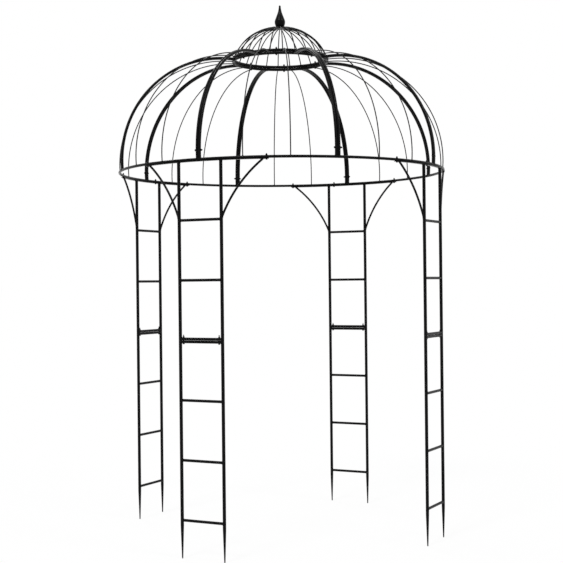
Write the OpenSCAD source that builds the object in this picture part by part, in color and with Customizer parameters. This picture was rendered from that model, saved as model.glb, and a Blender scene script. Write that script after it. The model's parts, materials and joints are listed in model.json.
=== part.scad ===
// Garden pavilion of welded round tube: four ladder posts in two halves each, a ribbed
// dome in eight bays, a small cupola and a drop-shaped finial.
// Millimetres, +Z up. The origin is on the pavilion's axis, level with the spike tips.
// The ladders stand on the diagonals, so the four ways in face -Y, +X, +Y and -X.

/* [Ladder posts] */
// Diameter of the upright tubes
upright_d = 19; // [17:0.5:20]
// Distance between the axes of a ladder's two uprights
ladder_w = 270; // [230:1:320]
// Diameter of the rungs
rung_d = 16; // [12:0.5:16]
// Distance from rung to rung
rung_pitch = 333; // [300:1:350]
// Height of the lowest rung over the spike tips
lowest_rung = 213; // [205:1:260]
// Length of the tapered spike at the foot of an upright
spike_l = 185; // [120:1:195]
// Diameter of a spike's blunt tip
spike_tip_d = 7; // [4:0.5:9]
// Diameter of the curved braces
brace_d = 12.5; // [9:0.5:13]
// How far a brace bows out from its straight chord
brace_bow = 27; // [15:1:40]
// Angle from a ladder's middle to the upper ends of its braces
brace_angle = 21.3; // [20:0.1:22]
// Width of the flat bar on top of each ladder
bar_w = 20; // [16:1:30]
// Thickness of that flat bar
bar_t = 4; // [3:0.5:6]
// Angle from a ladder's middle to the ends of the flat bar
bar_angle = 23.2; // [22.7:0.1:24]

/* [Lower ring] */
// Radius of the lower ring, to the middle of its tube
ring_r = 1000; // [950:5:1050]
// Diameter of the lower ring's tube
ring_d = 16; // [16:0.5:18]

/* [Dome] */
// Height of the dome's top ring over the lower ring, from axis to axis
dome_h = 695; // [660:1:730]
// Radius of the dome's top ring, to the middle of its tube
top_ring_r = 292; // [280:1:320]
// Diameter of the tube of the top ring and of the cupola's ring
top_ring_d = 17; // [17:0.5:20]
// Diameter of each of the two tubes of a double rib
rib_d = 16; // [13:0.5:16]
// How far ribs and wires bow out from their straight chord
rib_bow = 232; // [225:1:240]
// Diameter of the thin wires between the ribs
wire_d = 6.5; // [5:0.5:8]

/* [Cupola] */
// Height of the hub over the cupola's ring, from axis to middle
cupola_h = 190; // [170:1:210]
// How far the cupola's rods bow out from their straight chord
cupola_bow = 57; // [50:1:62]
// Diameter of a cupola rod
cupola_rod_d = 6.5; // [5:0.5:6.5]
// Diameter of the hub that the cupola's rods run into
hub_d = 56; // [55:1:60]
// Thickness of the hub
hub_h = 10; // [8:1:14]
// Height of the finial
finial_h = 138; // [110:1:150]
// Largest diameter of the finial
finial_d = 66; // [56:1:70]
// Diameter of the finial's blunt point
finial_tip_d = 12; // [8:1:14]

/* [Bolts] */
// Diameter of the bolts
bolt_d = 6; // [5:0.5:6]
// Width of a hexagon head or nut across its flats
hex_w = 10; // [8:0.5:10]
// Height of a hexagon head
head_h = 4; // [3:0.5:5]
// Height of a nut
nut_h = 5; // [4:0.5:6]
// Distance from a ladder's middle to the bolts of its coupling
coupling_bolt_y = 114; // [90:1:116]
// Height over the lower ring of the bolts that hold the two tubes of a rib together
rib_bolt_up = 50; // [35:1:70]
// Angle from a rib to the extra bolts through the lower ring
extra_bolt_angle = 5.6; // [4:0.1:6]

/* [Hidden] */
$fn = 48;
TUBE = "#1b1b1c";
WIRE = "#262627";
BAYS = 8;                        // bays of the dome, with one rib between each pair
WIRES_PER_BAY = 2;
CUPOLA_RODS = 24;
JOINT_GAP = 0.4;                 // between parts that are bolted or welded end to end
PLAY = 0.15;                     // round a bolt, and between a rod's end and its tube
RIB_GAP = 0.4;                   // between the two tubes of a double rib
RING_GAP = 0.4;                  // between the top ring and the cupola's ring
LONG_THREAD = 10;                // that a coupling's bolt shows past its nut
SHORT_THREAD = 5;                // that the other bolts show
EXTRA_BOLTS = [0, -1, 1, -1];    // side of each ladder with an extra bolt, 0 for none
LADDER_ANGLES = [225, 315, 45, 135];
LADDER_NAMES = ["front_left", "front_right", "back_right", "back_left"];
LADDER_PARTS = ["lower_uprights", "lower_rungs", "upper_uprights", "upper_rungs", "arch"];
QUARTER_NAMES = ["right", "back", "left", "front"];

ring_z = lowest_rung + 6 * rung_pitch;
coupling_z = ring_z - 3 * rung_pitch;
bar_z = ring_z - ring_d / 2 - bar_t;
upright_x = sqrt(ring_r ^ 2 - (ladder_w / 2) ^ 2);
rib_pitch = rib_d + RIB_GAP;
coupling_pitch = rung_d + JOINT_GAP;
rings_pitch = top_ring_d + RING_GAP;
top_ring_z = ring_z + dome_h;
cupola_ring_z = top_ring_z + rings_pitch;
dome_foot = [ring_r, ring_z];
dome_head = [top_ring_r, top_ring_z];
hub_z = cupola_ring_z + cupola_h;
bay_angle = 360 / BAYS;
wire_step = bay_angle / (WIRES_PER_BAY + 1);
belly = 0.26;                    // part of the finial's height at which it is widest
coupling_grip = coupling_pitch + rung_d;
ring_grip = bar_t + ring_d;
rib_grip = rib_pitch + rib_d;
rings_grip = rings_pitch + top_ring_d;

// ---- rods and rings ---------------------------------------------------------------------

// Radius and centre of the arc from p0 to p1 that bows out by bow to the right of that way
function arc_r(p0, p1, bow) = norm(p1 - p0) ^ 2 / (8 * bow) + bow / 2;
function arc_centre(p0, p1, bow) =
    let (along = (p1 - p0) / norm(p1 - p0))
    (p0 + p1) / 2 - (arc_r(p0, p1, bow) - bow) * [along[1], -along[0]];

// A round rod in the XZ plane along that arc. cut0 and cut1 are lengths taken off its ends.
module arc_rod(p0, p1, bow, d, cut0, cut1) {
    r = arc_r(p0, p1, bow);
    centre = arc_centre(p0, p1, bow);
    degrees_per_mm = 180 / (PI * r);
    start = atan2(p0[1] - centre[1], p0[0] - centre[0]) + cut0 * degrees_per_mm;
    sweep = 2 * asin(norm(p1 - p0) / 2 / r) - (cut0 + cut1) * degrees_per_mm;
    translate([centre[0], 0, centre[1]])
        rotate([90, 0, 0])
            rotate([0, 0, start])
                rotate_extrude(angle = sweep, $fn = 180)
                    translate([r, 0])
                        circle(d = d);
}

// A stretch of a level ring from angle a0 to angle a1
module ring_arc(r, z, d, a0 = 0, a1 = 360) {
    translate([0, 0, z])
        rotate([0, 0, a0])
            rotate_extrude(angle = a1 - a0, $fn = 180)
                translate([r, 0])
                    circle(d = d);
}

// ---- bolts ----------------------------------------------------------------------------

// A bolt along +Z with its nut. What it clamps lies between heights 0 and grip.
module bolt(grip, thread) {
    translate([0, 0, -PLAY - head_h])
        cylinder(h = head_h, d = hex_w / cos(30), $fn = 6);
    translate([0, 0, -PLAY - head_h / 2])
        cylinder(h = head_h / 2 + 2 * PLAY + grip + nut_h + thread, d = bolt_d);
    translate([0, 0, grip + PLAY])
        cylinder(h = nut_h, d = hex_w / cos(30), $fn = 6);
}

// The hole for such a bolt
module bolt_hole(grip) {
    translate([0, 0, -bolt_d])
        cylinder(h = grip + 2 * bolt_d, d = bolt_d + 2 * PLAY);
}

module at_coupling_bolts() {
    for (side = [-1, 1])
        translate([upright_x, side * coupling_bolt_y, coupling_z - coupling_grip / 2])
            children();
}

// Under the flat bars, at the middle of each arc of the lower ring and at the extra places
module at_ring_bolts() {
    extra = [for (i = [0 : 3]) if (EXTRA_BOLTS[i] != 0) LADDER_ANGLES[i] + EXTRA_BOLTS[i] * extra_bolt_angle];
    for (a = concat([for (i = [0 : BAYS - 1]) (i + 0.5) * bay_angle], extra))
        rotate([0, 0, a])
            translate([ring_r, 0, bar_z])
                children();
}

// At one side of the rib above the +X axis, pointing across both its tubes
module at_rib_bolt() {
    z = ring_z + rib_bolt_up;
    centre = arc_centre(dome_foot, dome_head, rib_bow);
    x = centre[0] + sqrt(arc_r(dome_foot, dome_head, rib_bow) ^ 2 - (z - centre[1]) ^ 2);
    translate([x, -rib_grip / 2, z])
        rotate([-90, 0, 0])
            children();
}

module at_top_ring_bolts() {
    for (i = [0 : BAYS - 1])
        rotate([0, 0, (i + 0.5) * bay_angle])
            translate([top_ring_r, 0, top_ring_z - top_ring_d / 2])
                children();
}

// ---- ladder posts: +X points outwards at the ladder's middle ---------------------------

module at_ladder(i) {
    rotate([0, 0, LADDER_ANGLES[i]])
        children();
}

module at_upright(side) {
    translate([upright_x, side * ladder_w / 2, 0])
        children();
}

// The room that an upright takes where a rung or a brace is coped to it
module upright_room(side) {
    at_upright(side)
        cylinder(h = bar_z, d = upright_d + 2 * PLAY);
}

// Two uprights, each tapering to a blunt spike
module lower_uprights(i) {
    color(TUBE)
        at_ladder(i)
            for (side = [-1, 1])
                at_upright(side)
                    rotate_extrude()
                        polygon([
                            [0, 0],
                            [spike_tip_d / 2, 0],
                            [upright_d / 2, spike_l],
                            [upright_d / 2, coupling_z - JOINT_GAP / 2],
                            [0, coupling_z - JOINT_GAP / 2]
                        ]);
}

module upper_uprights(i) {
    foot = coupling_z + JOINT_GAP / 2;
    color(TUBE)
        at_ladder(i)
            for (side = [-1, 1])
                at_upright(side)
                    translate([0, 0, foot])
                        cylinder(h = bar_z - foot, d = upright_d);
}

// A rung at height z, coped to both uprights
module rung(z) {
    difference() {
        translate([upright_x, 0, z])
            rotate([90, 0, 0])
                cylinder(h = ladder_w, d = rung_d, center = true);
        upright_room(-1);
        upright_room(1);
    }
}

// The bar of the coupling that lies above (1) or below (-1) its middle, drilled for the bolts
module coupling_bar(half) {
    difference() {
        rung(coupling_z + half * coupling_pitch / 2);
        at_coupling_bolts()
            bolt_hole(coupling_grip);
    }
}

// Three rungs and the lower bar of the coupling
module lower_rungs(i) {
    color(TUBE)
        at_ladder(i) {
            for (k = [0 : 2])
                rung(lowest_rung + k * rung_pitch);
            coupling_bar(-1);
        }
}

// The upper bar of the coupling and two rungs
module upper_rungs(i) {
    color(TUBE)
        at_ladder(i) {
            coupling_bar(1);
            for (k = [1 : 2])
                rung(coupling_z + k * rung_pitch);
        }
}

// A curved brace from an upright, at the top rung, up to the underside of the flat bar
module brace(side) {
    foot = [upright_x, side * ladder_w / 2];
    head = ring_r * [cos(brace_angle), side * sin(brace_angle)];
    reach = norm(head - foot);
    difference() {
        translate([foot[0], foot[1], 0])
            rotate([0, 0, atan2(head[1] - foot[1], head[0] - foot[0])])
                difference() {
                    arc_rod([reach, bar_z], [0, ring_z - rung_pitch], brace_bow, brace_d, -2 * brace_d, 0);
                    translate([0, -brace_d, bar_z - JOINT_GAP / 2])
                        cube([2 * reach, 2 * brace_d, 10 * brace_d]);
                }
        upright_room(side);
    }
}

// Flat bar on top of ladder i, rolled to the ring's curve, that the ring is bolted to
module flat_bar(i) {
    difference() {
        rotate([0, 0, -bar_angle])
            rotate_extrude(angle = 2 * bar_angle, $fn = 180)
                translate([ring_r - bar_w / 2, bar_z])
                    square([bar_w, bar_t]);
        rotate([0, 0, -LADDER_ANGLES[i]])
            at_ring_bolts()
                bolt_hole(ring_grip);
    }
}

// The flat bar and the two braces under its ends
module arch(i) {
    color(TUBE)
        at_ladder(i) {
            flat_bar(i);
            brace(-1);
            brace(1);
        }
}

// ---- dome -----------------------------------------------------------------------------

// A rod from the lower ring's tube up to the top ring's, above the +X axis
module dome_rod(d) {
    arc_rod(dome_foot, dome_head, rib_bow, d, ring_d / 2 + PLAY, top_ring_d / 2 + PLAY);
}

// Two tubes side by side, one from each of the dome segments that meet here
module rib(i) {
    color(TUBE)
        rotate([0, 0, (i - 1) * bay_angle])
            difference() {
                for (side = [-1, 1])
                    translate([0, side * rib_pitch / 2, 0])
                        dome_rod(rib_d);
                at_rib_bolt()
                    bolt_hole(rib_grip);
            }
}

// The thin wires of the bay that follows rib i
module wires(i) {
    color(WIRE)
        for (k = [1 : WIRES_PER_BAY])
            rotate([0, 0, (i - 1) * bay_angle + k * wire_step])
                dome_rod(wire_d);
}

// The two arcs of the lower ring over one way in, each of one dome segment. The arcs meet
// under the ribs.
module lower_ring(quarter) {
    half_gap = asin(JOINT_GAP / 2 / ring_r);
    color(TUBE)
        difference() {
            for (i = [2 * quarter - 1, 2 * quarter])
                ring_arc(ring_r, ring_z, ring_d, i * bay_angle + half_gap, (i + 1) * bay_angle - half_gap);
            at_ring_bolts()
                bolt_hole(ring_grip);
        }
}

// A ring of the dome's or the cupola's size at height z, drilled for the bolts through both
module small_ring(z) {
    difference() {
        ring_arc(top_ring_r, z, top_ring_d);
        at_top_ring_bolts()
            bolt_hole(rings_grip);
    }
}

module top_ring() {
    color(TUBE)
        small_ring(top_ring_z);
}

// ---- cupola ---------------------------------------------------------------------------

module cupola_ring() {
    color(TUBE)
        small_ring(cupola_ring_z);
}

// A rod from the tube of the cupola's ring up to the hub, above the +X axis
module cupola_rod() {
    arc_rod(
        [top_ring_r, cupola_ring_z], [0, hub_z], cupola_bow, cupola_rod_d,
        top_ring_d / 2 + PLAY, hub_d / 2 + PLAY
    );
}

// A quarter of the cupola's rods; quarter 0 starts just past the diagonal before +X
module cupola_rods(quarter) {
    per_quarter = CUPOLA_RODS / 4;
    color(WIRE)
        for (k = [1 : per_quarter])
            rotate([0, 0, 90 * quarter - 45 + k * 90 / per_quarter])
                cupola_rod();
}

module cupola_hub() {
    color(TUBE)
        translate([0, 0, hub_z - hub_h / 2])
            cylinder(h = hub_h, d = hub_d);
}

// Radius of the finial at t, which runs from 0 at its foot to 1 at its point
function finial_radius(t) =
    t < belly
        ? finial_d / 2 * sqrt(1 - 0.62 * (1 - t / belly) ^ 2)
        : finial_tip_d / 2 + (finial_d - finial_tip_d) / 4 * (1 + cos(180 * ((t - belly) / (1 - belly)) ^ 0.72));

module finial() {
    steps = 24;
    color(TUBE)
        translate([0, 0, hub_z + hub_h / 2])
            rotate_extrude()
                polygon(concat(
                    [[0, 0]],
                    [for (k = [0 : steps]) [finial_radius(k / steps), finial_h * k / steps]],
                    [[0, finial_h]]
                ));
}

// ---- sets of bolts ----------------------------------------------------------------------

// Two through each coupling, nuts on top
module coupling_bolts() {
    color(TUBE)
        for (i = [0 : 3])
            at_ladder(i)
                at_coupling_bolts()
                    bolt(coupling_grip, LONG_THREAD);
}

// Up through the flat bars and the lower ring
module ring_bolts() {
    color(TUBE)
        at_ring_bolts()
            bolt(ring_grip, SHORT_THREAD);
}

// Across each double rib
module rib_bolts() {
    color(TUBE)
        for (i = [0 : BAYS - 1])
            rotate([0, 0, i * bay_angle])
                at_rib_bolt()
                    bolt(rib_grip, SHORT_THREAD);
}

// Up through the top ring and the cupola's ring, one in each bay
module top_ring_bolts() {
    color(TUBE)
        at_top_ring_bolts()
            bolt(rings_grip, SHORT_THREAD);
}

// ---- nodes ----------------------------------------------------------------------------

for (i = [0 : 3]) {
    post = LADDER_NAMES[i];
    lower_uprights(i);
    lower_rungs(i);
    upper_uprights(i);
    upper_rungs(i);
    arch(i);
}
for (q = [0 : 3])
    lower_ring(q);
for (i = [1 : BAYS]) {
    rib(i);
    wires(i);
}
top_ring();
cupola_ring();
for (q = [0 : 3])
    cupola_rods(q);
cupola_hub();
finial();
coupling_bolts();
ring_bolts();
rib_bolts();
top_ring_bolts();
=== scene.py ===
"""Looks of the garden pavilion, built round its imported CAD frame.

Lengths are in metres and angles in degrees unless a name says otherwise. The frame has +Z up,
its origin on the pavilion's axis level with the spike tips, and a ladder on each diagonal.
Every CAD node is replaced by one finer piece of the same size. Weld beads and washers, which
the CAD model leaves out, are added as pieces of their own.
"""

import json
import logging
import math
from collections.abc import Callable
from dataclasses import dataclass, field
from enum import Enum

import bpy
from bpy.types import Material, Mesh, Object
from mathutils import Matrix, Vector

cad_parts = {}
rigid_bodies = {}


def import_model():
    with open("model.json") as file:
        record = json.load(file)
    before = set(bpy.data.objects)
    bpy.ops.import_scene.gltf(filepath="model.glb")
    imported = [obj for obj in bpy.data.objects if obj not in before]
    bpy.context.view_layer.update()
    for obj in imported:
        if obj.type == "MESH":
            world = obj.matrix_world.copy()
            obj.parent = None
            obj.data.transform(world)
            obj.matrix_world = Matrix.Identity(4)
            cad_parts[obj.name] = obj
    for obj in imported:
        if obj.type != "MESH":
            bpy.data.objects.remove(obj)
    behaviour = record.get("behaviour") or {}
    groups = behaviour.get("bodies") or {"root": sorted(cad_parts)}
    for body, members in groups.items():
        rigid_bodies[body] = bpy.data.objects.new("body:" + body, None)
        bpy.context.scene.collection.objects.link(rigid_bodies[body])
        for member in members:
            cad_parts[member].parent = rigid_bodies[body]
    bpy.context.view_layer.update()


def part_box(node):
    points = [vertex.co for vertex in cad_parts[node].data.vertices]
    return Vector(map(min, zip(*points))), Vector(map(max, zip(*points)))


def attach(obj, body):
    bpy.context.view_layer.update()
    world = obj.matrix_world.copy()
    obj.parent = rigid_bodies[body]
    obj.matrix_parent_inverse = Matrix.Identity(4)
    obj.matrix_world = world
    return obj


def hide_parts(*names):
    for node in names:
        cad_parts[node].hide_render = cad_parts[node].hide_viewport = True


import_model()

LOG = logging.getLogger("pavilion")
BODY = "root"
UP = Vector((0, 0, 1))
SIDEWAYS = Vector((0, 1, 0))
QUARTERS = ("right", "back", "left", "front")
# Each ladder's name, its angle and the side of its middle with an extra ring bolt, or 0.
LADDERS = (
    ("front_left", 225, 0),
    ("front_right", 315, -1),
    ("back_right", 45, 1),
    ("back_left", 135, -1),
)


# ---- nodes ----


def both_ways(operation: str) -> tuple[Callable, Callable]:
    """The two methods of an operator, with self before other and other before self."""
    return (
        lambda self, other: self.math(operation, self, other),
        lambda self, other: self.math(operation, other, self),
    )


class Field:
    """An output socket that takes part in arithmetic, each operation adding a Math node."""

    def __init__(self, graph: "Graph", socket: bpy.types.NodeSocket) -> None:
        """Wraps a socket of the graph's tree."""
        self.graph = graph
        self.socket = socket

    def math(self, operation: str, *values: "Field | float") -> "Field":
        """The result of a Math node on these values, in their order."""
        sockets = dict(enumerate(values))
        return self.graph.add("ShaderNodeMath", sockets, operation=operation)[0]

    __add__, __radd__ = both_ways("ADD")
    __sub__, __rsub__ = both_ways("SUBTRACT")
    __mul__, __rmul__ = both_ways("MULTIPLY")
    __truediv__, __rtruediv__ = both_ways("DIVIDE")
    __mod__, __rmod__ = both_ways("FLOORED_MODULO")
    __pow__, __rpow__ = both_ways("POWER")

    def at_least(self, other: "Field | float") -> "Field":
        """The larger of the two."""
        return self.math("MAXIMUM", self, other)

    def at_most(self, other: "Field | float") -> "Field":
        """The smaller of the two."""
        return self.math("MINIMUM", self, other)

    def root(self) -> "Field":
        """The square root, or 0 below 0."""
        return self.at_least(0.0).math("SQRT", self.at_least(0.0))

    def wave(self) -> "Field":
        """The sine of this many radians."""
        return self.math("SINE", self)

    def radians(self) -> "Field":
        """This many degrees in radians."""
        return self.math("RADIANS", self)


class Node:
    """A node that was added, whose outputs are read by name or number."""

    def __init__(self, graph: "Graph", node: bpy.types.Node) -> None:
        """Wraps a node of the graph's tree."""
        self.graph = graph
        self.node = node

    def __getitem__(self, key: str | int) -> Field:
        """The output with that name or number."""
        return Field(self.graph, pick(self.node.outputs, key))


def pick(sockets: bpy.types.bpy_prop_collection, key: str | int) -> bpy.types.NodeSocket:
    """The socket with that number, or the one in use with that name."""
    if isinstance(key, int):
        return sockets[key]
    return next(s for s in sockets if s.name == key and s.enabled)


class Graph:
    """A node tree that is written in Python expressions."""

    def __init__(self, tree: bpy.types.NodeTree) -> None:
        """Starts from an empty or a new tree."""
        self.tree = tree

    def add(self, kind: str, sockets: dict | None = None, **settings: str | bool) -> Node:
        """Adds one node.

        Args:
            kind: The node's type.
            sockets: A value or a Field for each input, by name or number.
            settings: Its properties, which are set before its sockets.

        Returns:
            The node, whose outputs are read with square brackets.
        """
        node = self.tree.nodes.new(kind)
        for name, value in settings.items():
            setattr(node, name, value)
        for key, value in (sockets or {}).items():
            self.feed(pick(node.inputs, key), value)
        return Node(self, node)

    def feed(self, socket: bpy.types.NodeSocket, value: object) -> None:
        """Links a Field to an input, or sets the input to a plain value."""
        if isinstance(value, Field):
            self.tree.links.new(value.socket, socket)
        else:
            socket.default_value = value

    def vector(self, x: Field | float = 0.0, y: Field | float = 0.0, z: Field | float = 0.0) -> Field:
        """A vector from its three parts."""
        return self.add("ShaderNodeCombineXYZ", {0: x, 1: y, 2: z})[0]


def blank(holder: Material | bpy.types.World) -> Graph:
    """The emptied node tree of a new material or world."""
    holder.use_nodes = True
    holder.node_tree.nodes.clear()
    return Graph(holder.node_tree)


def put(name: str, data: bpy.types.ID) -> Object:
    """A new object in the scene that shows that data."""
    made = bpy.data.objects.new(name, data)
    bpy.context.scene.collection.objects.link(made)
    return made


# ---- Geometry Nodes ----


class Recipe(Graph):
    """A Geometry Nodes tree with named inputs that makes one kind of piece."""

    SOCKETS = {float: "NodeSocketFloat", int: "NodeSocketInt"}
    SHARP = math.radians(38)
    # The default of each named size, whose type sets the input's type.
    INPUTS = {}

    def __init__(self) -> None:
        """Names the inputs and builds the tree."""
        super().__init__(bpy.data.node_groups.new(type(self).__name__, "GeometryNodeTree"))
        face = self.tree.interface
        face.new_socket("Geometry", in_out="INPUT", socket_type="NodeSocketGeometry")
        self.ids = {}
        for label, value in self.INPUTS.items():
            socket = face.new_socket(label, in_out="INPUT", socket_type=self.SOCKETS[type(value)])
            socket.default_value = value
            self.ids[label] = socket.identifier
        socket = face.new_socket("Finish", in_out="INPUT", socket_type="NodeSocketMaterial")
        self.ids["Finish"] = socket.identifier
        face.new_socket("Geometry", in_out="OUTPUT", socket_type="NodeSocketGeometry")
        self.given = self.add("NodeGroupInput")
        self.build()

    def __getitem__(self, name: str) -> Field:
        """The input of that name."""
        return self.given[name]

    def build(self) -> None:
        """Adds the recipe's own nodes, and closes the tree."""
        raise NotImplementedError

    def close(self, geometry: Field) -> None:
        """Ends the tree in Realize Instances and Set Material."""
        real = self.add("GeometryNodeRealizeInstances", {"Geometry": geometry})[0]
        sockets = {"Geometry": real, "Material": self["Finish"]}
        done = self.add("GeometryNodeSetMaterial", sockets)
        self.add("NodeGroupOutput", {"Geometry": done[0]})

    def make(
        self, name: str, finish: Material, sizes: dict, guide: Mesh | None = None
    ) -> Object:
        """Makes one plain mesh object by this recipe.

        Args:
            name: The piece's name.
            finish: Its material.
            sizes: A value for each named input that isn't left at its default.
            guide: Points or paths that the recipe builds on, if it needs any.

        Returns:
            The object, at the origin, with no modifier left on it.
        """
        piece = put(name, guide or bpy.data.meshes.new(name))
        modifier = piece.modifiers.new("recipe", "NODES")
        modifier.node_group = self.tree
        for label, value in {**sizes, "Finish": finish}.items():
            modifier[self.ids[label]] = value
        solid = piece.evaluated_get(bpy.context.evaluated_depsgraph_get())
        mesh = bpy.data.meshes.new_from_object(solid)
        piece.modifiers.remove(modifier)
        mesh.name = name
        piece.data = mesh
        mesh.shade_smooth()
        mesh.set_sharp_from_angle(angle=self.SHARP)
        return piece

    def circle(self, radius: Field | float, sides: Field | int) -> Field:
        """A round outline to sweep along a path."""
        sockets = {"Resolution": sides, "Radius": radius}
        return self.add("GeometryNodeCurvePrimitiveCircle", sockets)["Curve"]

    def sweep(self, path: Field, outline: Field, scale: Field | float = 1.0) -> Field:
        """The closed tube of an outline along a path."""
        sockets = {"Curve": path, "Profile Curve": outline, "Scale": scale, "Fill Caps": True}
        return self.add("GeometryNodeCurveToMesh", sockets)["Mesh"]

    def tube(self, path: Field) -> Field:
        """The closed tube along a path, by the inputs Radius and Sides."""
        return self.sweep(path, self.circle(self["Radius"], self["Sides"]))

    def swelling(self, path: Field, radius: Field, sides: Field | int) -> Field:
        """The closed solid along a path that is as thick as each of its points says."""
        return self.sweep(path, self.circle(1.0, sides), radius)

    def row(self, count: Field | int, place: Field) -> Field:
        """A row of points, each at the place that the index gives."""
        return self.add("GeometryNodePoints", {"Count": count, "Position": place})[0]

    def carried(self, name: str, kind: str) -> Field:
        """What the guide's points carry under that name."""
        return self.add("GeometryNodeInputNamedAttribute", {"Name": name}, data_type=kind)[0]

    def index(self) -> Field:
        """The number of each point."""
        return self.add("GeometryNodeInputIndex")[0]

    def copies(self, points: Field, shape: Field, turn: Field | None = None) -> Field:
        """A copy of the shape at each point, turned there if a turn is given."""
        sockets = {"Points": points, "Instance": shape}
        if turn:
            sockets["Rotation"] = turn
        return self.add("GeometryNodeInstanceOnPoints", sockets)[0]

    def moved(self, shape: Field, shift: Field) -> Field:
        """The shape moved by that vector."""
        return self.add("GeometryNodeTransform", {"Geometry": shape, "Translation": shift})[0]

    def swung(self, shape: Field, angle: Field) -> Field:
        """The shape turned about the Z axis by that many degrees."""
        sockets = {"Geometry": shape, "Rotation": self.about_axis(angle)}
        return self.add("GeometryNodeTransform", sockets)[0]

    def about_axis(self, angle: Field) -> Field:
        """The turn about the Z axis by that many degrees."""
        return self.add("FunctionNodeEulerToRotation", {0: self.vector(z=angle.radians())})[0]

    def round_axis(self, shape: Field) -> Field:
        """Copies of the shape round the Z axis, by the inputs Copies, First Angle and Turn."""
        points = self.row(self["Copies"], self.vector())
        angle = self["First Angle"] + self.index() * self["Turn"]
        return self.copies(points, shape, self.about_axis(angle))

    def turned(self, outline: list[tuple[Field | float, Field | float]], sides: Field | int) -> Field:
        """A solid turned about the Z axis.

        Args:
            outline: The height and the radius at each step, from the bottom up.
            sides: How many sides it has, so that 6 makes a hexagon.

        Returns:
            The closed mesh.
        """
        line = self.add("GeometryNodeMeshLine", {"Count": len(outline)})[0]
        path = self.add("GeometryNodeMeshToCurve", {"Mesh": line})[0]
        height, radius = (self.choose([step[k] for step in outline]) for k in (0, 1))
        sockets = {"Geometry": path, "Position": self.vector(z=height)}
        path = self.add("GeometryNodeSetPosition", sockets)[0]
        return self.swelling(path, radius, sides)

    def choose(self, values: list[Field | float]) -> Field:
        """The value whose place in the list is the point's number."""
        node = self.tree.nodes.new("GeometryNodeIndexSwitch")
        node.data_type = "FLOAT"
        while len(node.index_switch_items) < len(values):
            node.index_switch_items.new()
        self.tree.links.new(self.index().socket, node.inputs["Index"])
        for number, value in enumerate(values):
            self.feed(pick(node.inputs, str(number)), value)
        return Node(self, node)[0]

    def together(self, *shapes: Field) -> Field:
        """Several shapes as one."""
        node = self.add("GeometryNodeJoinGeometry")
        for shape in reversed(shapes):
            self.tree.links.new(shape.socket, node.node.inputs[0])
        return node[0]


class ArchedRods(Recipe):
    """Round rods along an arc in a plane through the Z axis, single or in pairs, round the axis."""

    INPUTS = {"Foot Out": 1.0, "Foot Up": 0.0, "Head Out": 0.0, "Head Up": 1.0, "Bow": 0.1}
    INPUTS |= {"Copies": 1, "First Angle": 0.0, "Turn": 45.0, "Tubes": 1, "Pitch": 0.0}
    INPUTS |= {"Radius": 0.005, "Steps": 48, "Sides": 20}

    def build(self) -> None:
        """Bows an arc out from its chord, sweeps it and copies it round the axis."""
        out0, up0, out1, up1 = (self[k] for k in ("Foot Out", "Foot Up", "Head Out", "Head Up"))
        run, rise = out1 - out0, up1 - up0
        chord = (run * run + rise * rise).root()
        bow = self["Bow"]
        middle_out = (out0 + out1) / 2.0 + bow * rise / chord
        middle_up = (up0 + up1) / 2.0 - bow * run / chord
        sockets = {
            "Resolution": self["Steps"],
            "Start": self.vector(out0, 0.0, up0),
            "Middle": self.vector(middle_out, 0.0, middle_up),
            "End": self.vector(out1, 0.0, up1),
        }
        arc = self.add("GeometryNodeCurveArc", sockets, mode="POINTS")["Curve"]
        rod = self.tube(arc)
        tubes = self["Tubes"]
        beside = (self.index() - (tubes - 1.0) / 2.0) * self["Pitch"]
        pair = self.copies(self.row(tubes, self.vector(y=beside)), rod)
        self.close(self.round_axis(pair))


class RingArcs(Recipe):
    """Arcs of a level ring, with a small gap between them."""

    INPUTS = {"Ring Radius": 1.0, "Height": 0.0, "Radius": 0.007, "Sweep": 45.0, "Gap": 0.0004}
    INPUTS |= {"Copies": 1, "First Angle": 0.0, "Turn": 45.0, "Steps": 48, "Sides": 24}

    def build(self) -> None:
        """Sweeps one arc, half a gap short at each end, and copies it round the axis."""
        ring = self["Ring Radius"]
        gap = self["Gap"] / ring
        sweep = self["Sweep"].radians() - gap
        sockets = {
            "Resolution": self["Steps"],
            "Radius": ring,
            "Start Angle": gap / 2.0,
            "Sweep Angle": sweep,
        }
        arc = self.add("GeometryNodeCurveArc", sockets, mode="RADIUS")["Curve"]
        tubes = self.round_axis(self.tube(arc))
        self.close(self.moved(tubes, self.vector(z=self["Height"])))


class ClosedRing(Recipe):
    """A level ring of round tube."""

    INPUTS = {"Ring Radius": 0.3, "Height": 0.0, "Radius": 0.008, "Steps": 160, "Sides": 28}

    def build(self) -> None:
        """Sweeps the tube round a circle."""
        path = self.circle(self["Ring Radius"], self["Steps"])
        self.close(self.moved(self.tube(path), self.vector(z=self["Height"])))


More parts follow.
